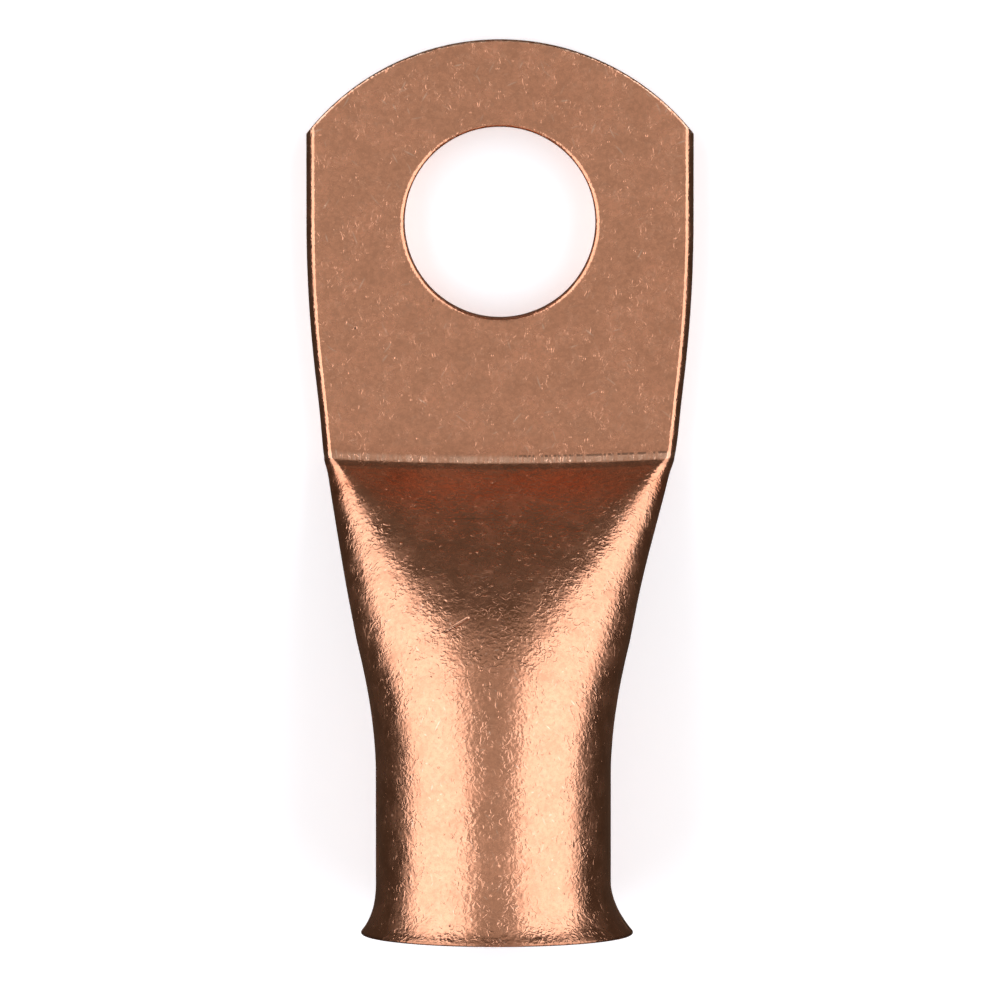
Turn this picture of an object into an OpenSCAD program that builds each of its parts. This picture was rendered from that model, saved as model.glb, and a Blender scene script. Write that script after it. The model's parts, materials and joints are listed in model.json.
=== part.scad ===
// Copper cable lug for a bolted power connection. One length of seamless tube makes the whole lug:
// its mouth is belled, its far end is pressed flat into a palm, sheared to an arc and punched.
// The lug lies on its back. X runs across the palm, Y from the mouth towards the palm's tip, Z up.
// The origin is the centre of the stud hole on the palm's back face.

/* [Tube] */
// Bore that takes the cable's bared strands
bore_d = 10.2; // [7:0.1:13]
// Thickness of the tube's wall
wall = 1.25; // [0.9:0.05:1.8]
// Length of barrel left round and straight, between the neck and the bell mouth
barrel_l = 5.95; // [4:0.05:30]

/* [Bell mouth] */
// Radius at which the mouth's outer surface curls outwards
bell_r = 4.2; // [3:0.1:8]
// Angle through which the mouth curls
bell_angle = 39; // [20:1:50]
// Rounding of the lip's outer edge
lip_r = 0.3; // [0.1:0.05:0.4]

/* [Palm] */
// Thickness of the palm, which is both walls pressed together
palm_t = 2.3; // [1.8:0.05:3.4]
// Greatest width of the palm, across the stud hole
palm_w = 21.1; // [19.5:0.1:24]
// Distance from the stud hole's centre to the palm's tip
tip_reach = 9.95; // [8:0.05:14]
// Distance from the stud hole's centre back to the bend where the neck starts to rise
bend_reach = 13; // [9:0.1:20]
// Radius of the arc that the palm's end is sheared to
tip_arc_r = 13.4; // [12.5:0.1:30]
// How far in from each side the fold of the tube is rounded
fold_w = 0.65; // [0.3:0.05:1.1]
// Depth of the parting line that the two walls leave along the sheared end
seam_depth = 0.15; // [0.05:0.05:0.4]
// Height of the parting line
seam_h = 0.1; // [0.05:0.05:0.3]

/* [Stud hole] */
// Diameter of the hole that goes over the stud
stud_d = 10.4; // [5:0.1:13]
// Radius at which the punch rolled the hole's front edge over
roll_r = 0.25; // [0.1:0.05:0.6]

/* [Neck] */
// Length of the neck, from the bend to the round barrel
neck_l = 16.3; // [14:0.1:26]
// How much of the neck's length keeps a flat along its top and its back, in percent
flat_percent = 60; // [40:5:90]
// How much longer the tube's girth is where it is pressed hardest, in percent
stretch_percent = 3.3; // [0:0.1:6]
// Width of the low land that the press leaves on the palm along the bend
land_w = 0.7; // [0.3:0.1:1.5]
// Rise of that land from the palm's face to the foot of the neck
land_rise = 0.1; // [0.02:0.02:0.2]

/* [Hidden] */
$fn = 96;
copper = [0.72, 0.45, 0.33];
rings_in_palm = 8;
rings_in_neck = 26;
steps_round_side = 14;
steps_bell = 10;
steps_roll = 4;
// How fast the neck's flats narrow: 1 is evenly, and more is faster near the bend
flat_fade = 1.35;
// Tries at fitting a ring's width to its girth, each of which leaves a fifth of the error
tries = 9;
// Height at which the two walls are taken to have met inside the neck
closed_gap = 0.12;
// Least width of the flats on a ring, so that its two round sides never share a point
least_flat = 0.02;
// How far the neck's end laps into the barrel, and how far it is sunk in the barrel's skin there
lap = 0.3;
seat = 0.02;
// Overrun of every cutting shape past the face that it cuts
past = 1;

tube_od = bore_d + 2 * wall;
bell_rise = (bell_r + lip_r) * (1 - cos(bell_angle));
bell_l = (bell_r + lip_r) * sin(bell_angle) + lip_r;
bell_od = tube_od + 2 * bell_rise;
// Centre of the bell's curl in the half section, as [radius, distance from the neck]
bell_centre = [tube_od / 2 + bell_r, barrel_l];

// The bell's lowest point and the palm's back face lie on one plane, so the lug bolts down flat.
axis_z = bell_od / 2;
crown_z = axis_z + tube_od / 2;
heel_z = axis_z - tube_od / 2;

// The neck's top rises from the bend as a quarter of a sine, steep first and level at the crown.
foot_z = palm_t + land_rise;
neck_rise = crown_z - foot_z;
foot_steepness = neck_rise / neck_l * PI / 2;

bend_y = -bend_reach;
neck_end_y = bend_y - neck_l;
tip_arc_y = tip_reach - tip_arc_r;

// Share of the neck's length passed at a distance in from the bend
function neck_share(run) = min(1, max(0, run / neck_l));

// Top of the metal at a distance in from the bend, and the slope there. On the palm the distance
// is negative.
function top_z(run) =
    run <= 0 ? palm_t + land_rise * max(0, 1 + run / land_w) :
    foot_z + neck_rise * sin(90 * neck_share(run));
function top_slope(run) = atan(foot_steepness * cos(90 * neck_share(run)));

// Underside of the metal, which eases from the palm's back face up to the barrel's heel
function back_z(run) = heel_z * (1 - cos(180 * neck_share(run))) / 2;

// A pressed ring keeps its girth: two flats joined by two round sides, which are half ellipses.
// The stretch dies away along the neck, so that the last ring is the round tube.
function girth(run) = PI * tube_od * (1 + stretch_percent / 100 * (1 - neck_share(run)));
function ellipse_girth(a, b) = PI * (3 * (a + b) - sqrt((3 * a + b) * (a + 3 * b)));

// Width at which a ring has its girth, given how much of its width the two round sides take up
function girth_w(run, rounded_w) =
    let (half_h = (top_z(run) - back_z(run)) / 2)
    (girth(run) - ellipse_girth(rounded_w / 2, half_h)) / 2 + rounded_w;

// The flats narrow from the palm's full flat to nothing, where the neck is oval all round.
bend_w = girth_w(0, 2 * fold_w);
function flat_share(run) =
    (1 - 2 * fold_w / bend_w) * max(0, 1 - 100 / flat_percent * neck_share(run)) ^ flat_fade;

function fitted_w(run, w, left) =
    left == 0 ? w : fitted_w(run, girth_w(run, (1 - flat_share(run)) * w), left - 1);

// The palm's sides bow out from the bend to its greatest width beside the stud hole.
function palm_side_w(run) = palm_w - (palm_w - bend_w) * (1 - min(1, -run / bend_reach)) ^ 2;

function ring_w(run) = run <= 0 ? palm_side_w(run) : fitted_w(run, bend_w, tries);
function round_side(run) = run <= 0 ? fold_w : (1 - flat_share(run)) * ring_w(run) / 2;

// One closed ring of points at a station along Y, its walls taken in by the given amounts
function ring(y, in_side, in_top, in_back) =
    let (
        run = bend_y - y,
        low = back_z(run) + in_back,
        high = top_z(run) - in_top,
        half_w = ring_w(run) / 2 - in_side,
        half_h = (high - low) / 2,
        side = min(round_side(run) - in_side, half_w - least_flat / 2)
    )
    [
        for (s = [1, -1], i = [0 : steps_round_side])
        let (a = s * (-90 + 180 * i / steps_round_side))
        [s * (half_w - side + side * cos(a)), y, low + half_h + half_h * sin(a)]
    ];

function outer_ring(y) = ring(y, 0, 0, 0);
function inner_ring(y) = ring(y, wall, wall / cos(top_slope(bend_y - y)), wall);

// Skin over a row of closed rings, with a flat cap on the first and the last
module loft(rings) {
    size = len(rings[0]);
    count = len(rings);
    function at(row, i) = row * size + i % size;
    polyhedron(
        points = [for (r = rings) each r],
        faces = concat(
            [[for (i = [0 : size - 1]) i]],
            [
                for (row = [0 : count - 2], i = [0 : size - 1])
                [at(row, i), at(row + 1, i), at(row + 1, i + 1), at(row, i + 1)]
            ],
            [[for (i = [size - 1 : -1 : 0]) at(count - 1, i)]]
        ),
        convexity = 4
    );
}

// Stations along Y, as many steps as asked for, both ends included
function stations(from, to, steps) = [for (i = [0 : steps]) from + (to - from) * i / steps];

// The flattened palm and the neck, still with a square end and solid. It laps into the barrel.
module pressed_tube() {
    palm_ys = stations(tip_reach + past, bend_y + land_w, rings_in_palm);
    neck_ys = stations(bend_y, neck_end_y, rings_in_neck);
    loft(concat(
        [for (y = palm_ys) outer_ring(y)],
        [for (i = [0 : rings_in_neck - 1]) outer_ring(neck_ys[i])],
        [for (y = [neck_end_y, neck_end_y - lap]) ring(y, seat, seat, seat)]
    ));
}

// The hollow in the neck, from where the two walls meet to just inside the bore
module neck_hollow() {
    met_z = closed_gap + wall + wall / cos(top_slope(0));
    walls_meet = neck_l * asin((met_z - foot_z) / neck_rise) / 90;
    neck_ys = stations(bend_y - walls_meet, neck_end_y, rings_in_neck);
    loft(concat(
        [for (i = [0 : rings_in_neck - 1]) inner_ring(neck_ys[i])],
        [for (y = [neck_end_y, neck_end_y - lap]) ring(y, wall + seat, wall + seat, wall + seat)]
    ));
}

// Turns a half section, given as [radius, distance from the neck], round the barrel's axis
module turned_on_barrel(half_section) {
    translate([0, neck_end_y, axis_z])
        rotate([90, 0, 0])
            rotate_extrude()
                polygon(half_section);
}

function arc(centre, r, from, to, steps) = [
    for (i = [0 : steps])
    let (a = from + (to - from) * i / steps)
    centre + r * [cos(a), sin(a)]
];

// Outside of the round barrel and its bell, with the lip's outer edge rounded
module barrel_skin() {
    lip_centre = bell_centre + (bell_r + lip_r) * [-cos(bell_angle), sin(bell_angle)];
    turned_on_barrel(concat(
        [[0, 0], [tube_od / 2, 0]],
        arc(bell_centre, bell_r, 180, 180 - bell_angle, steps_bell),
        arc(lip_centre, lip_r, -bell_angle, 90, steps_bell),
        [[0, barrel_l + bell_l]]
    ));
}

// The bore, which opens out with the bell and runs on past the mouth
module bore() {
    curl_end = bell_centre + (bell_r + wall) * [-cos(bell_angle), sin(bell_angle)];
    out = curl_end + past * [sin(bell_angle), cos(bell_angle)];
    turned_on_barrel(concat(
        [[0, 0], [bore_d / 2, 0]],
        arc(bell_centre, bell_r + wall, 180, 180 - bell_angle, steps_bell),
        [out, [0, out.y]]
    ));
}

// Shears the palm's end to its arc
module tip_shear() {
    translate([0, tip_arc_y, -past])
        linear_extrude(palm_t + 2 * past)
            difference() {
                translate([-palm_w, 0])
                    square([2 * palm_w, tip_arc_r + 2 * past]);
                circle(tip_arc_r, $fn = 180);
            }
}

// The parting line along the sheared end, which stops short of the folds at the sides
module end_seam() {
    half_w = palm_w / 2 - palm_t;
    translate([0, tip_arc_y, (palm_t - seam_h) / 2])
        linear_extrude(seam_h)
            intersection() {
                difference() {
                    circle(tip_arc_r + past, $fn = 180);
                    circle(tip_arc_r - seam_depth, $fn = 180);
                }
                translate([-half_w, 0])
                    square([2 * half_w, tip_arc_r + past]);
            }
}

// The punched hole, whose wall stops below the rolled front edge
module stud_hole() {
    stud_r = stud_d / 2;
    wall_top = palm_t - roll_r;
    translate([0, 0, -past])
        cylinder(d = stud_d, h = palm_t + 2 * past);
    rotate_extrude()
        polygon(concat(
            [[0, wall_top]],
            arc([stud_r + roll_r, wall_top], roll_r, 180, 90, steps_roll),
            [[stud_r + roll_r, palm_t + past], [0, palm_t + past]]
        ));
}

module lug() {
    color(copper)
        difference() {
            union() {
                pressed_tube();
                barrel_skin();
            }
            neck_hollow();
            bore();
            tip_shear();
            end_seam();
            stud_hole();
        }
}

lug();
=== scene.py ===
"""A copper cable lug: a tube belled at its mouth and pressed flat into a drilled palm."""

import json
import math
from types import SimpleNamespace

import bmesh
import bpy
from bpy.props import FloatProperty, FloatVectorProperty, IntProperty, PointerProperty
from mathutils import Matrix, Vector


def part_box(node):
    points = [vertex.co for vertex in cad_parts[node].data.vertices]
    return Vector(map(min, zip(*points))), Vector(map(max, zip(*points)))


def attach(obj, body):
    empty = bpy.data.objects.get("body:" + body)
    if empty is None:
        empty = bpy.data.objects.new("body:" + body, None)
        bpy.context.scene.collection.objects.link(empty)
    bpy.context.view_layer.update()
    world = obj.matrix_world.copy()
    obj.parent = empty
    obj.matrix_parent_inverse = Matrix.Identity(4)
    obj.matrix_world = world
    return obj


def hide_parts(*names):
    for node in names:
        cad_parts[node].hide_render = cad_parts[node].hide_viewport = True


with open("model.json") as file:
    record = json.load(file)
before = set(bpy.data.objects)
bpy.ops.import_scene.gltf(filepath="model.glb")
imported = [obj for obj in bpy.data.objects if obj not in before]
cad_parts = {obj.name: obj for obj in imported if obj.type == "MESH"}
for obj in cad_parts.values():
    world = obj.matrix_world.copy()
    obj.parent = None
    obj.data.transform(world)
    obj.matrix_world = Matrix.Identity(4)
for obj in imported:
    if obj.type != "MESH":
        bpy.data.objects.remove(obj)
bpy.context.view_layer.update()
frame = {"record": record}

bl_info = {
    "name": "Copper Cable Lug",
    "version": (1, 0, 0),
    "blender": (4, 5, 0),
    "location": "View3D > Sidebar > Lug",
    "description": "Presses a copper cable lug from a tube and sets it on a studio table",
    "category": "Object",
}

NODE = "lug"
BODY = "root"
SLOT = "tumbled_copper"
MM = 0.001

LOW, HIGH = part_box(NODE)
MOUNTS = {mount["name"]: mount for mount in frame["record"]["mounts"]}
STUD_R = MOUNTS["stud_hole"]["dims"]["r_mm"] * MM
BORE_R = MOUNTS["cable_socket"]["dims"]["r_mm"] * MM
PALM_T = MOUNTS["nut_face"]["pos_m"][2]
AXIS_Z = (LOW.z + HIGH.z) / 2
BELL_R = (HIGH.z - LOW.z) / 2
PALM_W = HIGH.x - LOW.x
OVER = 1 * MM  # how far a tool reaches past the metal it cuts
DIE_POINTS = 720
PUNCH_POINTS = 256


# ---------------------------------------------------------------- sizes and colours


class LugSizes(bpy.types.PropertyGroup):
    """Sizes of the lug that its frame doesn't state"""

    wall: FloatProperty(
        name="Wall",
        description="Thickness of the tube's wall",
        default=1.25 * MM,
        unit="LENGTH",
    )
    bend_reach: FloatProperty(
        name="Bend",
        description="Distance from the stud hole's centre back to the bend",
        default=12.8 * MM,
        unit="LENGTH",
    )
    neck_l: FloatProperty(
        name="Neck",
        description="Length of the pressed neck between the bend and the round barrel",
        default=16.5 * MM,
        unit="LENGTH",
    )
    flat_reach: FloatProperty(
        name="Flat reach",
        description="Share of the neck over which its top keeps a flat",
        default=0.6,
    )
    flat_fade: FloatProperty(
        name="Flat fade",
        description="How fast the neck's flat narrows: 1 is even, more is faster at first",
        default=1.35,
    )
    stretch: FloatProperty(
        name="Stretch",
        description="Share by which the tube's girth grows where it is pressed hardest",
        default=0.033,
    )
    fold_w: FloatProperty(
        name="Fold",
        description="How far in from each side the palm's edge is rounded",
        default=0.5 * MM,
        unit="LENGTH",
    )
    knuckle: FloatProperty(
        name="Knuckle",
        description="How far the folds bulge out at the two ends of the bend, in all",
        default=0.3 * MM,
        unit="LENGTH",
    )
    land_w: FloatProperty(
        name="Land width",
        description="Width of the low land along the bend",
        default=0.7 * MM,
        unit="LENGTH",
    )
    land_rise: FloatProperty(
        name="Land rise",
        description="Rise of the land from the palm's face to the foot of the ramp",
        default=0.1 * MM,
        unit="LENGTH",
    )
    foot_l: FloatProperty(
        name="Foot length",
        description="Length of the gentler foot where the neck starts to rise",
        default=0.5 * MM,
        unit="LENGTH",
    )
    foot_dip: FloatProperty(
        name="Foot dip",
        description="How far the foot lies under the neck's even curve",
        default=0.08 * MM,
        unit="LENGTH",
    )
    bow: FloatProperty(
        name="Bend bow",
        description="How far the middle of the bend bows towards the mouth",
        default=0.24 * MM,
        unit="LENGTH",
    )
    cut_short: FloatProperty(
        name="Cut short",
        description="How much shorter than the frame's box the tube was cut",
        default=0.08 * MM,
        unit="LENGTH",
    )
    drift: FloatProperty(
        name="Drift",
        description="How far the press left the barrel to the left of the palm",
        default=0.36 * MM,
        unit="LENGTH",
    )
    lip_drift: FloatProperty(
        name="Lip drift",
        description="How far the lip was belled to the right of the barrel",
        default=0.2 * MM,
        unit="LENGTH",
    )
    tip_arc_r: FloatProperty(
        name="Tip arc",
        description="Radius that the palm's end is sheared to",
        default=13.4 * MM,
        unit="LENGTH",
    )
    curl_r: FloatProperty(
        name="Curl",
        description="Radius at which the mouth's outer surface curls outwards",
        default=4.2 * MM,
        unit="LENGTH",
    )
    lip_r: FloatProperty(
        name="Lip",
        description="Rounding of the lip's outer edge",
        default=0.1 * MM,
        unit="LENGTH",
    )
    roll_r: FloatProperty(
        name="Punch roll",
        description="Rounding that the punch left on the hole's front edge",
        default=0.25 * MM,
        unit="LENGTH",
    )
    shear_roll: FloatProperty(
        name="Shear roll",
        description="Rounding of the edges along the sheared end",
        default=0.18 * MM,
        unit="LENGTH",
    )
    seam_depth: FloatProperty(
        name="Seam depth",
        description="Depth of the parting line along the sheared end",
        default=0.15 * MM,
        unit="LENGTH",
    )
    seam_h: FloatProperty(
        name="Seam height",
        description="Height of the parting line along the sheared end",
        default=0.1 * MM,
        unit="LENGTH",
    )
    sides: IntProperty(
        name="Sides", description="Points round each ring of the tube", default=128
    )


class CopperFinish(bpy.types.PropertyGroup):
    """Colours and texture of the tumbled copper, with the tint of a painted reflection"""

    copper: FloatVectorProperty(
        name="Copper",
        description="Colour of the clean metal",
        subtype="COLOR",
        size=3,
        default=(0.88, 0.41, 0.24),
    )
    tarnish: FloatVectorProperty(
        name="Tarnish",
        description="Colour of the metal where it has dulled",
        subtype="COLOR",
        size=3,
        default=(0.8, 0.34, 0.19),
    )
    burnished: FloatVectorProperty(
        name="Burnished",
        description="Colour of the metal where it was rubbed bright",
        subtype="COLOR",
        size=3,
        default=(0.96, 0.56, 0.38),
    )
    # Painted reflection: tint of the palm's reddish light reflected into the foot of the
    # neck, painted into the colour there.
    painted_reflection_tint: FloatVectorProperty(
        name="Foot tint",
        description="Colour of the redder metal in the foot of the neck",
        subtype="COLOR",
        size=3,
        default=(0.8, 0.24, 0.11),
    )
    roughness: FloatProperty(
        name="Roughness", description="Roughness of the tumbled skin", default=0.245
    )
    grain: FloatProperty(
        name="Grain",
        description="Size of the finest grain",
        default=0.24 * MM,
        unit="LENGTH",
    )
    grain_depth: FloatProperty(
        name="Grain depth",
        description="Depth of the grain",
        default=0.02 * MM,
        unit="LENGTH",
    )


class StudioSetup(bpy.types.PropertyGroup):
    """Camera and lamps"""

    camera_distance: FloatProperty(
        name="Camera distance",
        description="How far the camera stands from the lug",
        default=0.52,
        unit="LENGTH",
    )
    camera_tilt: FloatProperty(
        name="Camera tilt",
        description="Lean of the camera from straight above, towards the palm's tip",
        default=math.radians(3.1),
        subtype="ANGLE",
    )
    frame_width: FloatProperty(
        name="Frame width",
        description="Width of the picture at the lug",
        default=54.45 * MM,
        unit="LENGTH",
    )
    aim_y: FloatProperty(
        name="Aim",
        description="How far behind the stud hole's centre the camera aims",
        default=15.1 * MM,
        unit="LENGTH",
    )
    side_light: FloatProperty(
        name="Side light", description="Brightness of the two side panels", default=1.7
    )
    top_light: FloatProperty(
        name="Top light", description="Brightness of the panel overhead", default=0.375
    )
    front_light: FloatProperty(
        name="Front light",
        description="Brightness of the panel beyond the palm's tip",
        default=0.33,
    )
    back_light: FloatProperty(
        name="Back light",
        description="Brightness of the low panel beyond the mouth",
        default=0.6,
    )
    far_light: FloatProperty(
        name="Far light",
        description="Brightness of the low panel beyond the palm's tip",
        default=0.06,
    )
    table_lift: FloatProperty(
        name="Table lift",
        description="Extra white that the table shows the camera",
        default=0.3,
    )


# ---------------------------------------------------------------- working in edit mode


def deselect_all():
    bpy.ops.object.select_all(action="DESELECT")


def edit(piece):
    """Opens one piece for editing, with nothing in it selected."""
    deselect_all()
    piece.select_set(True)
    bpy.context.view_layer.objects.active = piece
    bpy.ops.object.mode_set(mode="EDIT")
    bpy.ops.mesh.select_mode(type="VERT")
    bpy.ops.mesh.select_all(action="DESELECT")


def done():
    bpy.ops.object.mode_set(mode="OBJECT")


def select_points(piece, test):
    """Selects the points that pass a test, and the edges and faces between them."""
    bm = bmesh.from_edit_mesh(piece.data)
    for point in bm.verts:
        point.select = test(point)
    bm.select_flush_mode()
    bmesh.update_edit_mesh(piece.data)


def cut(piece, tool, operation="DIFFERENCE"):
    """Takes the tool's shape out of the piece, or leaves only that, and deletes the tool."""
    deselect_all()
    piece.select_set(True)
    bpy.context.view_layer.objects.active = piece
    boolean = piece.modifiers.new("cut", "BOOLEAN")
    boolean.operation = operation
    boolean.solver = "EXACT"
    boolean.object = tool
    bpy.ops.object.modifier_apply(modifier=boolean.name)
    bpy.data.objects.remove(tool)


# ---------------------------------------------------------------- the pressed tube


class Section:
    """One ring of the tube: two round sides held apart by two flats."""

    def __init__(self, y, low, high, width, side, centre_x=0):
        self.y = y
        self.centre_x = centre_x
        self.centre_z = (low + high) / 2
        self.half_h = (high - low) / 2
        self.side = min(side, width / 2)
        self.half_flat = width / 2 - self.side

    def centre(self):
        return Vector((self.centre_x, self.y, self.centre_z))


def round_section(y, radius, centre_x):
    return Section(y, AXIS_Z - radius, AXIS_Z + radius, 2 * radius, radius, centre_x)


def eased(share):
    """Goes from 0 to 1 with a gentle start and end."""
    share = min(1, max(0, share))
    return share * share * (3 - 2 * share)


def ellipse_girth(a, b):
    """Distance round an ellipse with half-axes a and b, close enough for metal."""
    return math.pi * (3 * (a + b) - math.sqrt((3 * a + b) * (a + 3 * b)))


class Pressing:
    """The form that the press gives the tube, worked out from the lug's sizes."""

    def __init__(self, sizes):
        self.sizes = sizes
        self.tube_r = BORE_R + sizes.wall
        self.crown_z = AXIS_Z + self.tube_r
        self.heel_z = AXIS_Z - self.tube_r
        self.foot_z = PALM_T + sizes.land_rise
        self.rise = self.crown_z - self.foot_z
        self.bend_y = -sizes.bend_reach
        self.neck_end_y = self.bend_y - sizes.neck_l
        self.bend_w = self.girth_width(0, 2 * sizes.fold_w)

    def share(self, run):
        return min(1, max(0, run / self.sizes.neck_l))

    def top(self, run):
        """Top of the metal, and its slope, at a distance in from the bend."""
        sizes = self.sizes
        if run <= 0:
            steepness = 1.4
            land = eased(steepness * (1 + run / sizes.land_w))
            return PALM_T + sizes.land_rise * land, 0
        turn = math.pi / 2 * self.share(run)
        steepest = self.rise / sizes.neck_l * math.pi / 2
        feet = run / sizes.foot_l
        high = self.foot_z + self.rise * math.sin(turn)
        high -= sizes.foot_dip * feet * math.exp(1 - feet)
        return high, math.atan(steepest * math.cos(turn))

    def back(self, run):
        """Underside of the metal, which eases from the palm's back up to the heel."""
        return self.heel_z * (1 - math.cos(math.pi * self.share(run))) / 2

    def girth_width(self, run, rounded):
        """Width at which a ring, rounded for a width in all, has the tube's girth."""
        girth = 2 * math.pi * self.tube_r
        girth *= 1 + self.sizes.stretch * (1 - self.share(run))
        high = self.foot_z + self.rise * math.sin(math.pi / 2 * self.share(run))
        half_h = (high - self.back(run)) / 2
        return (girth - ellipse_girth(rounded / 2, half_h)) / 2 + rounded

    def flat_share(self, run):
        """Share of a ring's width that is flat, from the palm's fold to the round neck."""
        if run <= 0:
            return 1 - 2 * self.sizes.fold_w / self.width(run)
        at_bend = 1 - 2 * self.sizes.fold_w / self.bend_w
        left = max(0, 1 - self.share(run) / self.sizes.flat_reach)
        return at_bend * left**self.sizes.flat_fade

    def width(self, run):
        """Full width of a ring, with the bulge of the folds near the bend."""
        bulge_l = 0.6 * MM if run > 0 else 2 * MM
        knuckles = self.sizes.knuckle * math.exp(-((run / bulge_l) ** 2))
        if run > 0:
            width = self.bend_w
            for _ in range(30):  # the flat depends on the width, so both settle together
                width = self.girth_width(run, (1 - self.flat_share(run)) * width)
            return width + knuckles
        share = 1 - min(1, max(0, -run / self.sizes.bend_reach))
        return PALM_W - (PALM_W - self.bend_w) * share**2 + knuckles

    def section(self, run, inset=0):
        """The ring at a distance in from the bend, its walls taken in by the inset."""
        high, slope = self.top(run)
        high -= inset / math.cos(slope)
        low = self.back(run) + inset
        width = self.width(run)
        side = (1 - self.flat_share(run)) * width / 2 - inset
        drift_start, drift_l = -2 * MM, 10 * MM
        centre_x = -self.sizes.drift * eased((run - drift_start) / drift_l)
        return Section(self.bend_y - run, low, high, width - 2 * inset, side, centre_x)


def spread(first, last, count):
    """Evenly spread values from first to last, both included."""
    return [first + (last - first) * i / (count - 1) for i in range(count)]


def mouth_rings(form, sizes):
    """Rings from the neck out along the bore, round the belled lip and back outside."""
    lip_reach = sizes.curl_r + sizes.lip_r
    curl = math.acos(1 - (BELL_R - form.tube_r) / lip_reach)
    bell_l = lip_reach * math.sin(curl) + sizes.lip_r
    curl_y = LOW.y + sizes.cut_short + bell_l
    curl_centre = form.tube_r + sizes.curl_r
    lip_centre = curl_centre - lip_reach * math.cos(curl)
    lip_y = curl_y - lip_reach * math.sin(curl)
    inner_r = sizes.curl_r + sizes.wall
    inner_curl = math.asin(bell_l / inner_r)

    def belled(y, radius):
        centre_x = sizes.lip_drift * eased((curl_y - y) / bell_l) - sizes.drift
        return round_section(y, radius, centre_x)

    def curled(y, centre, radius, angle):
        return belled(y - radius * math.sin(angle), centre - radius * math.cos(angle))

    bore = [belled(y, BORE_R) for y in spread(form.neck_end_y, curl_y, 4)[1:]]
    inside = [curled(curl_y, curl_centre, inner_r, a) for a in spread(0, inner_curl, 10)[1:]]
    lip = [
        belled(lip_y - sizes.lip_r * math.sin(a), lip_centre + sizes.lip_r * math.cos(a))
        for a in spread(math.pi / 2, -curl, 8)
    ]
    outside = [curled(curl_y, curl_centre, sizes.curl_r, a) for a in spread(curl, 0, 14)[1:]]
    barrel = [belled(y, form.tube_r) for y in spread(curl_y, form.neck_end_y, 5)[1:-1]]
    return bore + inside + lip + outside + barrel


def tube_sections(sizes):
    """Every ring in order: up the hollow to the mouth, round the lip, down to the tip."""
    form = Pressing(sizes)
    closed = 0.05 * MM
    walls_meet = next(
        run
        for run in spread(0, sizes.neck_l, 400)
        if 2 * form.section(run, sizes.wall).half_h >= closed
    )
    rings = [form.section(run, sizes.wall) for run in spread(walls_meet, sizes.neck_l, 40)]
    rings += mouth_rings(form, sizes)
    past_tip = -(sizes.bend_reach + HIGH.y + OVER)
    for first, last, count in (
        (sizes.neck_l, 3 * sizes.foot_l, 52),  # the neck
        (2.8 * sizes.foot_l, 0, 15),  # its foot
        (-0.1 * MM, -1.2 * sizes.land_w, 8),  # the land
        (-1.8 * sizes.land_w, past_tip, 28),  # the palm
    ):
        rings += [form.section(run) for run in spread(first, last, count)]
    return rings


def first_ring(section, sides):
    """A circle of points squeezed to the first section."""
    deselect_all()
    bpy.ops.mesh.primitive_circle_add(
        vertices=sides,
        radius=section.half_h,
        fill_type="NOTHING",
        location=section.centre(),
        rotation=(math.pi / 2, math.pi / sides, 0),
    )
    piece = bpy.context.object
    bpy.ops.object.transform_apply(location=True, rotation=True, scale=True)
    return piece


def spread_halves(piece, section, distance):
    """Moves the right half of the selected ring right and the left half left."""
    bm = bmesh.from_edit_mesh(piece.data)
    ring = [point for point in bm.verts if point.select]
    for side in (1, -1):
        for point in ring:
            point.select = (point.co.x - section.centre_x) * side > 0
        bm.select_flush_mode()
        bpy.ops.transform.translate(value=(side * distance, 0, 0))
    for point in ring:
        point.select = True
    bm.select_flush_mode()


def squeeze_ring(piece, old, new):
    """Reshapes the selected ring from the old section to the new one."""
    if old.half_flat:
        spread_halves(piece, old, -old.half_flat)
    bpy.ops.transform.translate(value=new.centre() - old.centre())
    bpy.ops.transform.resize(
        value=(new.side / old.side, 1, new.half_h / old.half_h),
        center_override=new.centre(),
    )
    if new.half_flat:
        spread_halves(piece, new, new.half_flat)


def draw_tube(sections, sides):
    """Draws the tube ring by ring and closes both its ends."""
    piece = first_ring(sections[0], sides)
    bpy.ops.object.mode_set(mode="EDIT")
    bpy.ops.mesh.select_mode(type="VERT")
    bpy.ops.mesh.select_all(action="SELECT")
    first = sections[0]
    low, high = first.centre_z - first.half_h, first.centre_z + first.half_h
    drawn = Section(first.y, low, high, 2 * first.half_h, first.half_h, first.centre_x)
    squeeze_ring(piece, drawn, first)
    bpy.ops.mesh.edge_face_add()
    bpy.ops.mesh.select_mode(type="VERT")
    for old, new in zip(sections, sections[1:]):
        bpy.ops.mesh.extrude_edges_indiv()
        squeeze_ring(piece, old, new)
    bpy.ops.mesh.edge_face_add()
    bpy.ops.mesh.select_all(action="SELECT")
    bpy.ops.mesh.normals_make_consistent(inside=False)
    done()
    return piece


def score_flats(lug):
    """Splits the broad flats of the palm and the neck lengthwise, so that they can bow."""
    strip_w, broad_w, half_count = 0.8 * MM, 1 * MM, 12
    edit(lug)
    bpy.ops.mesh.select_mode(type="FACE")
    for step in range(-half_count, half_count + 1):
        x = strip_w * step
        bm = bmesh.from_edit_mesh(lug.data)
        for face in bm.faces:
            across = [point.co.x for point in face.verts]
            broad = len(across) == 4 and max(across) - min(across) > broad_w
            face.select = broad and min(across) < x < max(across)
        bm.select_flush_mode()
        bmesh.update_edit_mesh(lug.data)
        bpy.ops.mesh.bisect(plane_co=(x, 0, 0), plane_no=(1, 0, 0))
    done()


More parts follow.
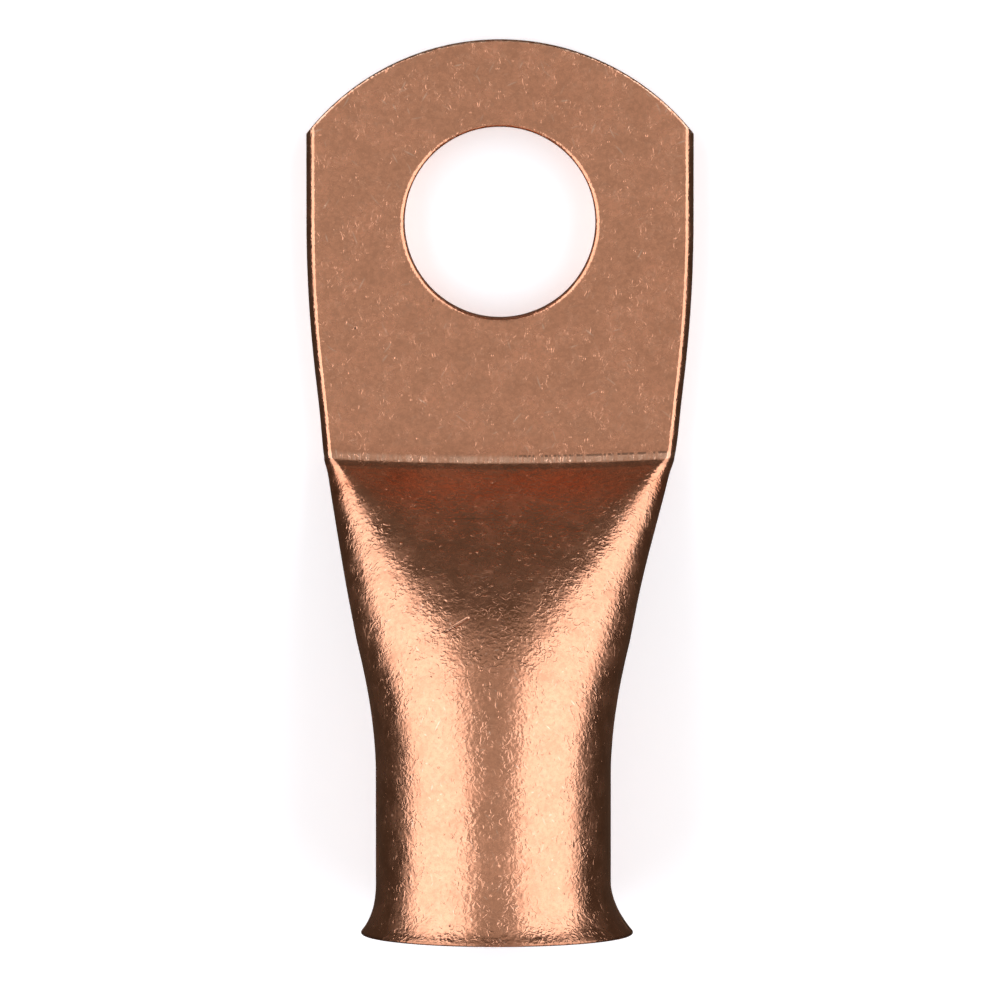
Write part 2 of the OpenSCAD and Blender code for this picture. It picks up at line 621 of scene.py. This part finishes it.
def bow_bend(lug, sizes):
    """Bows the middle of the bend towards the mouth."""
    edit(lug)

    def mid_bend(point):
        near = abs(point.co.x) < 0.1 * MM and point.co.z > PALM_T / 2
        return near and abs(point.co.y + sizes.bend_reach) < sizes.foot_l / 2

    select_points(lug, mid_bend)
    bpy.ops.transform.translate(
        value=(0, -sizes.bow, 0),
        use_proportional_edit=True,
        proportional_edit_falloff="INVERSE_SQUARE",
        proportional_size=9 * MM,
    )
    done()


def turned_tool(centre_y, profile, points):
    """A tool turned about an upright axis, from a profile of (radius, height) pairs."""
    deselect_all()
    first_r, first_z = profile[0]
    bpy.ops.mesh.primitive_circle_add(
        vertices=points, radius=first_r, fill_type="NGON", location=(0, centre_y, first_z)
    )
    tool = bpy.context.object
    bpy.ops.object.transform_apply(location=True)
    bpy.ops.object.mode_set(mode="EDIT")
    bpy.ops.mesh.select_mode(type="EDGE")
    bpy.ops.mesh.select_all(action="SELECT")
    for (old_r, old_z), (new_r, new_z) in zip(profile, profile[1:]):
        bpy.ops.mesh.extrude_edges_indiv()
        grow = new_r / old_r
        bpy.ops.transform.resize(
            value=(grow, grow, 1), center_override=(0, centre_y, old_z)
        )
        bpy.ops.transform.translate(value=(0, 0, new_z - old_z))
    bpy.ops.mesh.edge_face_add()
    bpy.ops.mesh.select_all(action="SELECT")
    bpy.ops.mesh.normals_make_consistent(inside=False)
    done()
    return tool


def rolled(radius, height, roll, outwards, upwards):
    """The quarter turn of a tool's profile that rounds over one edge of the metal."""
    steps = spread(0, math.radians(86), 8)
    if upwards < 0:
        steps.reverse()
    return [
        (
            radius + outwards * roll * (1 - math.cos(a)),
            height + upwards * roll * (math.sin(a) - 1),
        )
        for a in steps
    ]


def shear_tip(lug, sizes):
    """Shears the palm's end to its arc, with both edges rolled."""
    radius, roll = sizes.tip_arc_r, sizes.shear_roll
    centre_y = HIGH.y - radius
    back = rolled(radius, 0, roll, -1, -1)
    front = rolled(radius, PALM_T, roll, -1, 1)
    profile = [(radius - roll, -OVER)] + back + front + [(radius - roll, 2 * HIGH.z)]
    die = turned_tool(centre_y, profile, DIE_POINTS)
    edit(die)
    select_points(die, lambda point: point.co.y < centre_y - OVER)
    bpy.ops.transform.translate(value=(0, 2 * LOW.y, 0))
    done()
    cut(lug, die, "INTERSECT")


def part_walls(lug, sizes):
    """Cuts the parting line of the two walls along the sheared end."""
    centre_y = HIGH.y - sizes.tip_arc_r
    floor_r = sizes.tip_arc_r - sizes.seam_depth
    half_w = PALM_W / 2 - PALM_T
    deselect_all()
    bpy.ops.mesh.primitive_circle_add(
        vertices=DIE_POINTS,
        radius=floor_r,
        fill_type="NOTHING",
        location=(0, centre_y, (PALM_T - sizes.seam_h) / 2),
    )
    seam = bpy.context.object
    bpy.ops.object.transform_apply(location=True)
    bpy.ops.object.mode_set(mode="EDIT")
    bpy.ops.mesh.select_all(action="SELECT")
    bpy.ops.mesh.extrude_edges_indiv()
    grow = (sizes.tip_arc_r + OVER) / floor_r
    bpy.ops.transform.resize(value=(grow, grow, 1), center_override=(0, centre_y, 0))
    for place, normal in (
        ((0, 0, 0), (0, -1, 0)),
        ((half_w, 0, 0), (1, 0, 0)),
        ((-half_w, 0, 0), (-1, 0, 0)),
    ):
        bpy.ops.mesh.select_all(action="SELECT")
        bpy.ops.mesh.bisect(plane_co=place, plane_no=normal, clear_outer=True)
    bpy.ops.mesh.select_all(action="SELECT")
    bpy.ops.mesh.extrude_region_move(TRANSFORM_OT_translate={"value": (0, 0, sizes.seam_h)})
    bpy.ops.mesh.select_all(action="SELECT")
    bpy.ops.mesh.normals_make_consistent(inside=False)
    done()
    cut(lug, seam)


def punch_hole(lug, sizes):
    """Punches the stud hole with a punch whose shoulder rolls the front edge over."""
    shoulder = rolled(STUD_R, PALM_T, sizes.roll_r, 1, 1)
    end = (STUD_R + sizes.roll_r, PALM_T + OVER)
    cut(lug, turned_tool(0, [(STUD_R, -OVER)] + shoulder + [end], PUNCH_POINTS))


# ---------------------------------------------------------------- copper


class Surface:
    """Builds the copper's texture node by node, in the lug's own coordinates."""

    def __init__(self, name):
        self.material = bpy.data.materials.new(name)
        self.material.use_nodes = True
        self.tree = self.material.node_tree
        self.shader = self.tree.nodes["Principled BSDF"]
        self.place = self.add("ShaderNodeTexCoord").outputs["Object"]

    def add(self, kind, inputs=None, **settings):
        node = self.tree.nodes.new(kind)
        for name, value in settings.items():
            setattr(node, name, value)
        for name, value in (inputs or {}).items():
            self.feed(node.inputs[name], value)
        return node

    def feed(self, socket, value):
        if isinstance(value, bpy.types.NodeSocket):
            self.tree.links.new(value, socket)
        else:
            socket.default_value = value

    def math(self, operation, a, b=0.0):
        return self.add("ShaderNodeMath", {0: a, 1: b}, operation=operation).outputs[0]

    def product(self, first, *others):
        for factor in others:
            first = self.math("MULTIPLY", first, factor)
        return first

    def square(self, value):
        return self.math("MULTIPLY", value, value)

    def span(self, value, low, high, start=0.0, end=1.0):
        """Fades from start to end as the value goes from low to high."""
        fade = {"Value": value, "From Min": low, "From Max": high}
        fade.update({"To Min": start, "To Max": end})
        kind = "ShaderNodeMapRange"
        return self.add(kind, fade, interpolation_type="SMOOTHSTEP").outputs["Result"]

    def band(self, value, rise, fall):
        """Fades in across the rise and out across the fall, each a pair in millimetres."""
        fade_in = self.span(value, rise[0] * MM, rise[1] * MM)
        fade_out = self.span(value, fall[0] * MM, fall[1] * MM, 1, 0)
        return self.product(fade_in, fade_out)

    def clouds(self, size, detail=2.0, place=None, distortion=0.0):
        """Soft cloudy noise whose features have about the given size."""
        inputs = {"Vector": place or self.place, "Scale": 1 / size}
        inputs.update({"Detail": detail, "Distortion": distortion})
        return self.add("ShaderNodeTexNoise", inputs).outputs["Fac"]

    def marks(self, spacing, reach, rarity, place=None):
        """Scattered round marks. The rarity is the share of them that is left out."""
        inputs = {"Vector": place or self.place, "Scale": 1 / spacing}
        cells = self.add("ShaderNodeTexVoronoi", inputs)
        near = self.span(cells.outputs["Distance"], 0.4 * reach, reach, 1, 0)
        colour = self.add("ShaderNodeSeparateColor", {"Color": cells.outputs["Color"]})
        kept = self.math("GREATER_THAN", colour.outputs["Red"], rarity)
        depth = self.span(colour.outputs["Green"], 0, 1, 0.35, 1)
        return self.product(near, kept, depth)

    def strokes(self, spacing, reach, rarity, angle, stretch):
        """Scattered short scratches that run at an angle to the lug's width."""
        bent = self.add(
            "ShaderNodeVectorMath",
            {0: self.place, 1: self.jitter(1.2 * MM, 0.35 * MM)},
            operation="ADD",
        ).outputs[0]
        drawn_out = self.seen_from((0, 0, 0), angle, stretch, bent)
        return self.marks(spacing, reach, rarity, drawn_out)

    def seen_from(self, origin, angle, stretch=1, place=None):
        """Coordinates whose first axis is turned by the angle and runs longer."""
        inputs = {"Vector": place or self.place, "Location": origin}
        inputs.update({"Rotation": (0, 0, angle), "Scale": (stretch, 1, 1)})
        node = self.add("ShaderNodeMapping", inputs, vector_type="TEXTURE")
        return node.outputs[0]

    def streaks(self, size, scale):
        """Noise drawn out along the axes whose scale is small."""
        drawn = self.add("ShaderNodeMapping", {"Vector": self.place, "Scale": scale})
        return self.clouds(size, 0.0, drawn.outputs[0])

    def worms(self, size, width):
        """Short wriggling ridges, broken up by a coarser noise."""
        field = self.clouds(size, 0.0, distortion=0.8)
        away = self.math("ABSOLUTE", self.math("SUBTRACT", field, 0.5))
        ridges = self.span(away, 0, width, 1, 0)
        return self.product(ridges, self.span(self.clouds(2 * size, 1.0), 0.4, 0.6))

    def scratch(self, origin, angle, length, width):
        """One straight scratch on the top of the lug."""
        turned = self.seen_from(origin, angle)
        split = self.add("ShaderNodeSeparateXYZ", {"Vector": turned}).outputs
        along = self.math("ABSOLUTE", split["X"])
        across = self.math("ABSOLUTE", split["Y"])
        along = self.span(along, 0.4 * length, 0.5 * length, 1, 0)
        across = self.span(across, 0.2 * width, 0.5 * width, 1, 0)
        return self.product(along, across)

    def jitter(self, size, reach):
        """A cloudy shift of place, so that straight marks bend a little."""
        inputs = {"Vector": self.place, "Scale": 1 / size, "Detail": 0.0}
        colour = self.add("ShaderNodeTexNoise", inputs).outputs["Color"]
        middle = self.add(
            "ShaderNodeVectorMath", {0: colour, 1: (0.5, 0.5, 0.5)}, operation="SUBTRACT"
        ).outputs[0]
        return self.add(
            "ShaderNodeVectorMath", {0: middle, "Scale": reach}, operation="SCALE"
        ).outputs[0]

    def blend(self, factor, first, second, blend_type="MIX"):
        node = self.add("ShaderNodeMix", data_type="RGBA", blend_type=blend_type)
        colours = [socket for socket in node.inputs if socket.type == "RGBA"]
        self.feed(node.inputs["Factor"], factor)
        self.feed(colours[0], first)
        self.feed(colours[1], second)
        return [socket for socket in node.outputs if socket.type == "RGBA"][0]

    def shaded(self, colour, shade):
        """The colour times a grey shade."""
        grey = self.add("ShaderNodeCombineColor")
        for channel in ("Red", "Green", "Blue"):
            self.feed(grey.inputs[channel], shade)
        return self.blend(1.0, colour, grey.outputs[0], "MULTIPLY")

    def relief(self, layers):
        """The surface normal of layers that are given as pairs of height and depth."""
        total = 0.0
        for height, depth in layers:
            total = self.math("ADD", total, self.product(height, depth))
        inputs = {"Height": total, "Distance": 1.0, "Strength": 1.0}
        return self.add("ShaderNodeBump", inputs).outputs["Normal"]


def tumbling_marks(skin, finish):
    """Marks that tumbling left all over the skin."""
    gouge = skin.scratch((-2.3 * MM, -21.35 * MM, 0), math.radians(30), 1.6 * MM, 0.18 * MM)
    scratches = skin.product(gouge, 0.4)
    for angle, rarity in ((62, 0.5), (-38, 0.66), (112, 0.56), (15, 0.72)):
        some = skin.strokes(0.34 * MM, 0.17, rarity, math.radians(angle), 8)
        scratches = skin.math("MAXIMUM", scratches, some)
    return SimpleNamespace(
        gouge=gouge,
        scratches=scratches,
        grain=skin.clouds(finish.grain, 1.0),
        speckle=skin.clouds(finish.grain / 3, 1.0),
        mottle=skin.clouds(1.3 * MM, 4.0),
        patches=skin.clouds(7 * MM, 2.0),
        worms=skin.worms(0.34 * MM, 0.13),
        flecks=skin.marks(0.4 * MM, 0.2, 0.5),
        nicks=skin.marks(0.9 * MM, 0.14, 0.6),
        pits=skin.marks(2.6 * MM, 0.055, 0.35),
    )


def bend_marks(skin, sizes, x, y):
    """Marks that the press left along the bowed bend, by their distance up the neck, with
    painted shade in the crease and a painted reddish reflection at the neck's foot.
    """
    bow_half_w = 9 * MM
    bowed = skin.math("SUBTRACT", 1.0, skin.square(skin.product(x, 1 / bow_half_w)))
    run = skin.math("ADD", skin.product(bowed, sizes.bow), y)
    run = skin.math("SUBTRACT", -sizes.bend_reach, run)
    ticks = skin.streaks(0.16 * MM, (1, 0.12, 1))
    dashes = skin.product(
        skin.band(run, (-0.42, -0.36), (-0.3, -0.24)),
        skin.span(x, 0, 1.5 * MM),
        skin.span(ticks, 0.4, 0.55),
    )
    aside = skin.math("ABSOLUTE", skin.math("ADD", x, 1.2 * MM))
    # Painted reflection: where the foot of the neck shows the palm's reddish light, weaker
    # near the middle and broken up by clouds.
    painted_glow = skin.product(
        skin.band(run, (0.2, 0.6), (1.2, 3)),
        skin.span(aside, 1 * MM, 5 * MM, 0.3, 1),
        skin.span(skin.clouds(2.4 * MM, 2.0), 0.35, 0.6, 0.3, 1),
    )
    return SimpleNamespace(
        ticks=ticks,
        dashes=dashes,
        painted_glow=painted_glow,
        land=skin.band(run, (-0.42, -0.2), (0, 0.08)),
        # Painted shade in the crease at the foot of the neck.
        crease_shade=skin.band(run, (0.02, 0.1), (0.3, 0.45)),
        behind_land=skin.band(run, (-1.8, -0.5), (-0.5, -0.35)),
        off_palm=skin.span(run, -1 * MM, 2 * MM, 0.66, 1),
    )


def edge_marks(skin, sizes, x, y, grain):
    """Marks on the sawn mouth, the sheared tip and the punched hole, with painted shade
    along the mouth's lip and a painted highlight on the sheared rim's burr.
    """
    on_palm = skin.math("GREATER_THAN", y, 0.0)
    deep = skin.math("SUBTRACT", y, HIGH.y - sizes.tip_arc_r)
    reach = skin.math("SQRT", skin.math("ADD", skin.square(x), skin.square(deep)))
    rim = skin.math("SUBTRACT", sizes.tip_arc_r, reach)
    from_stud = skin.math("ADD", skin.square(x), skin.square(y))
    punched = skin.math("LESS_THAN", from_stud, (STUD_R + 0.03 * MM) ** 2)
    sheared = skin.product(skin.math("LESS_THAN", rim, 0.03 * MM), on_palm)
    past_mouth = skin.math("SUBTRACT", y, LOW.y + sizes.cut_short)
    return SimpleNamespace(
        # Burr along the sheared rim, rubbed bright, partly a painted highlight of the
        # rounded edge.
        burr_and_highlight=skin.product(skin.span(rim, 0.1 * MM, 0.2 * MM, 1, 0), grain, on_palm),
        # Painted shade: a dark band along the mouth's rounded lip.
        lip=skin.band(past_mouth, (0.01, 0.03), (0.08, 0.25)),
        sawn=skin.math("LESS_THAN", past_mouth, 0.01 * MM),
        saw_lines=skin.streaks(0.1 * MM, (0.08, 1, 1)),
        sheared=skin.math("MAXIMUM", sheared, punched),
        drag_lines=skin.streaks(0.14 * MM, (1, 1, 0.08)),
    )


def copper_material(finish, sizes):
    """Tumbled copper: satin, finely pitted, nicked and scratched, with a painted reddish
    reflection in the foot of the neck, painted shade in its crease and along the mouth's
    lip, and a painted highlight on the sheared rim.
    """
    skin = Surface(SLOT)
    split = skin.add("ShaderNodeSeparateXYZ", {"Vector": skin.place}).outputs
    x, y = split["X"], split["Y"]
    tumbled = tumbling_marks(skin, finish)
    bend = bend_marks(skin, sizes, x, y)
    edges = edge_marks(skin, sizes, x, y, tumbled.grain)

    tarnish, burnished = (*finish.tarnish, 1), (*finish.burnished, 1)
    painted_reflection_tint = (*finish.painted_reflection_tint, 1)
    colour = (*finish.copper, 1)
    for factor, tint in (
        (skin.span(tumbled.mottle, 0.4, 0.75, 0, 0.35), tarnish),
        (skin.span(tumbled.patches, 0.5, 0.8, 0, 0.25), tarnish),
        (tumbled.scratches, burnished),
        (skin.product(tumbled.worms, 0.15), burnished),
        # painted reflection of the palm in the neck's foot
        (skin.product(bend.painted_glow, 0.6), painted_reflection_tint),
        (skin.product(bend.behind_land, 0.25), tarnish),
        (skin.product(bend.land, skin.span(bend.ticks, 0.35, 0.6, 0.3, 0.9)), burnished),
        # burr on the sheared rim, brightened partly as a painted highlight
        (skin.span(edges.burr_and_highlight, 0.3, 0.6), burnished),
        # painted shade along the mouth's lip, in the tarnish colour
        (skin.product(edges.lip, 0.7), tarnish),
    ):
        colour = skin.blend(factor, colour, tint)
    shade = skin.product(
        skin.span(tumbled.speckle, 0.25, 0.75, 0.93, 1.04),
        skin.span(tumbled.grain, 0.3, 0.7, 0.92, 1.06),
        skin.span(tumbled.pits, 0, 1, 1, 0.35),
        # painted shade along the mouth's lip
        skin.span(edges.lip, 0, 1, 1, 0.6),
        # painted shade in the crease at the neck's foot
        skin.span(bend.crease_shade, 0, 1, 1, 0.72),
        skin.span(bend.dashes, 0, 1, 1, 0.5),
    )

    smooth, rough = finish.roughness - 0.05, finish.roughness + 0.05
    roughness = skin.span(tumbled.mottle, 0.3, 0.7, smooth, rough)
    roughness = skin.math("SUBTRACT", roughness, skin.product(tumbled.nicks, 0.08))
    for face, cut_roughness in ((edges.sawn, 0.5), (edges.sheared, 0.38)):
        roughness = skin.math("MAXIMUM", roughness, skin.product(face, cut_roughness))

    normal = skin.relief(
        (
            (tumbled.mottle, 0.02 * MM),
            (tumbled.grain, finish.grain_depth),
            (tumbled.speckle, 0.003 * MM),
            (skin.product(tumbled.worms, bend.off_palm), 0.008 * MM),
            (skin.product(tumbled.flecks, bend.off_palm), 0.016 * MM),
            (skin.product(tumbled.nicks, bend.off_palm), -0.018 * MM),
            (tumbled.pits, -0.02 * MM),
            (tumbled.gouge, -0.035 * MM),
            (edges.burr_and_highlight, 0.012 * MM),
            (skin.product(bend.ticks, bend.land), 0.03 * MM),
            (skin.product(edges.saw_lines, edges.sawn), 0.012 * MM),
            (skin.product(edges.drag_lines, edges.sheared), 0.012 * MM),
        )
    )

    skin.feed(skin.shader.inputs["Base Color"], skin.shaded(colour, shade))
    skin.feed(skin.shader.inputs["Roughness"], roughness)
    skin.feed(skin.shader.inputs["Normal"], normal)
    skin.shader.inputs["Metallic"].default_value = 1.0
    return skin.material


# ---------------------------------------------------------------- operators


class LUG_OT_make_lug(bpy.types.Operator):
    """Press the lug from a tube, shear its tip, punch its hole and finish its copper"""

    bl_idname = "lug.make_lug"
    bl_label = "Make the lug"
    bl_options = {"REGISTER", "UNDO"}

    def execute(self, context):
        sizes = context.scene.lug_sizes
        lug = draw_tube(tube_sections(sizes), sizes.sides)
        score_flats(lug)
        bow_bend(lug, sizes)
        shear_tip(lug, sizes)
        part_walls(lug, sizes)
        punch_hole(lug, sizes)
        lug.name = "cable_lug"
        lug.data.name = "cable_lug"
        deselect_all()
        lug.select_set(True)
        context.view_layer.objects.active = lug
        bpy.ops.object.shade_smooth_by_angle(angle=math.radians(35))
        weights = lug.modifiers.new("even_shading", "WEIGHTED_NORMAL")
        weights.keep_sharp = True
        weights.weight = 100
        bpy.ops.object.modifier_apply(modifier=weights.name)
        lug.data.materials.append(copper_material(context.scene.lug_finish, sizes))
        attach(lug, BODY)
        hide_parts(NODE)
        return {"FINISHED"}


def panel_lamp(name, place, size, brightness):
    """A rectangular lamp that faces the lug, of the given size and brightness."""
    lamp = bpy.data.lights.new(name, "AREA")
    lamp.shape = "RECTANGLE"
    lamp.size, lamp.size_y = size
    lamp.energy = brightness * math.pi * size[0] * size[1]
    panel = bpy.data.objects.new(name, lamp)
    bpy.context.collection.objects.link(panel)
    facing = (-Vector(place)).to_track_quat("-Z", "Y")
    panel.matrix_world = Matrix.Translation(place) @ facing.to_matrix().to_4x4()
    panel.visible_camera = False
    return panel


class LUG_OT_make_stage(bpy.types.Operator):
    """Lay the table, hang the lamps and aim the camera"""

    bl_idname = "lug.make_stage"
    bl_label = "Make the stage"
    bl_options = {"REGISTER", "UNDO"}

    def execute(self, context):
        studio = context.scene.lug_studio
        self.lay_table(studio)
        self.hang_lamps(studio)
        self.surround(context.scene)
        self.aim_camera(context.scene, studio)
        context.scene.view_settings.view_transform = "Standard"
        return {"FINISHED"}

    def lay_table(self, studio):
        deselect_all()
        bpy.ops.mesh.primitive_plane_add(size=4, location=(0, 0, LOW.z))
        table = bpy.context.object
        bpy.ops.object.transform_apply(location=True)
        table.name = "table"
        material = bpy.data.materials.new("white_table")
        material.use_nodes = True
        tree = material.node_tree
        shader = tree.nodes["Principled BSDF"]
        shader.inputs["Base Color"].default_value = (0.95, 0.95, 0.95, 1)
        shader.inputs["Roughness"].default_value = 1
        shader.inputs["Emission Color"].default_value = (1, 1, 1, 1)
        path = tree.nodes.new("ShaderNodeLightPath")
        seen = path.outputs["Is Camera Ray"]
        for kind in ("Is Glossy Ray", "Is Transmission Ray"):
            either = tree.nodes.new("ShaderNodeMath")
            either.operation = "MAXIMUM"
            tree.links.new(seen, either.inputs[0])
            tree.links.new(path.outputs[kind], either.inputs[1])
            seen = either.outputs[0]
        lift = tree.nodes.new("ShaderNodeMath")
        lift.operation = "MULTIPLY"
        lift.inputs[1].default_value = studio.table_lift
        tree.links.new(seen, lift.inputs[0])
        tree.links.new(lift.outputs[0], shader.inputs["Emission Strength"])
        table.data.materials.append(material)
        table.visible_glossy = False

    def hang_lamps(self, studio):
        """Two side panels from overhead down to the table, and four along the middle."""
        reach, centre_y, length = 0.8, 0.15, 1.9
        turned = math.radians(-5)
        cool_white = (0.96, 1.0, 1.08)
        first, last = math.radians(24), math.radians(90)
        middle, half = (first + last) / 2, (last - first) / 2
        high = 2 * reach * math.tan(half)
        for name, side in (("left_panel", -1), ("right_panel", 1)):
            place = (side * reach * math.sin(middle), centre_y, reach * math.cos(middle))
            panel = panel_lamp(name, place, (high, length), studio.side_light)
            lean = Matrix.Rotation(side * middle, 4, "Y")
            turn = Matrix.Rotation(side * turned, 4, "Z")
            panel.matrix_world = Matrix.Translation(place) @ lean @ turn
            panel.data.color = cool_white
        middle_w = 0.85
        for name, first, last, brightness in (
            ("top_panel", -45, 22, studio.top_light),
            ("front_panel", 22, 64, studio.front_light),
            ("far_panel", 64, 96, studio.far_light),
            ("back_panel", -90, -52, studio.back_light),
        ):
            middle = math.radians((first + last) / 2)
            place = (0, math.sin(middle), math.cos(middle))
            high = 2 * math.tan(math.radians(last - first) / 2)
            panel_lamp(name, place, (middle_w, high), brightness)

    def surround(self, scene):
        world = bpy.data.worlds.new("studio")
        scene.world = world
        world.use_nodes = True
        background = world.node_tree.nodes["Background"]
        background.inputs["Color"].default_value = (0.05, 0.04, 0.03, 1)

    def aim_camera(self, scene, studio):
        data = bpy.data.cameras.new("camera")
        data.lens = data.sensor_width * studio.camera_distance / studio.frame_width
        camera = bpy.data.objects.new("camera", data)
        scene.collection.objects.link(camera)
        tilt = studio.camera_tilt
        target = Vector((0, -studio.aim_y, PALM_T))
        camera.location = target + studio.camera_distance * Vector(
            (0, math.sin(tilt), math.cos(tilt))
        )
        camera.rotation_euler = (-tilt, 0, 0)
        scene.camera = camera


class LUG_PT_panel(bpy.types.Panel):
    """Sizes, finish and stage of the cable lug"""

    bl_idname = "LUG_PT_panel"
    bl_label = "Cable lug"
    bl_space_type = "VIEW_3D"
    bl_region_type = "UI"
    bl_category = "Lug"

    def draw(self, context):
        scene = context.scene
        for title, group in (
            ("Sizes", scene.lug_sizes),
            ("Finish", scene.lug_finish),
            ("Studio", scene.lug_studio),
        ):
            box = self.layout.box()
            box.label(text=title)
            for name in group.__annotations__:
                box.prop(group, name)
        self.layout.operator(LUG_OT_make_lug.bl_idname)
        self.layout.operator(LUG_OT_make_stage.bl_idname)


CLASSES = (
    LugSizes,
    CopperFinish,
    StudioSetup,
    LUG_OT_make_lug,
    LUG_OT_make_stage,
    LUG_PT_panel,
)


def register():
    for cls in CLASSES:
        bpy.utils.register_class(cls)
    bpy.types.Scene.lug_sizes = PointerProperty(type=LugSizes)
    bpy.types.Scene.lug_finish = PointerProperty(type=CopperFinish)
    bpy.types.Scene.lug_studio = PointerProperty(type=StudioSetup)


def unregister():
    del bpy.types.Scene.lug_studio
    del bpy.types.Scene.lug_finish
    del bpy.types.Scene.lug_sizes
    for cls in reversed(CLASSES):
        bpy.utils.unregister_class(cls)


def main():
    register()
    bpy.ops.lug.make_lug()
    bpy.ops.lug.make_stage()


if __name__ == "__main__":
    main()
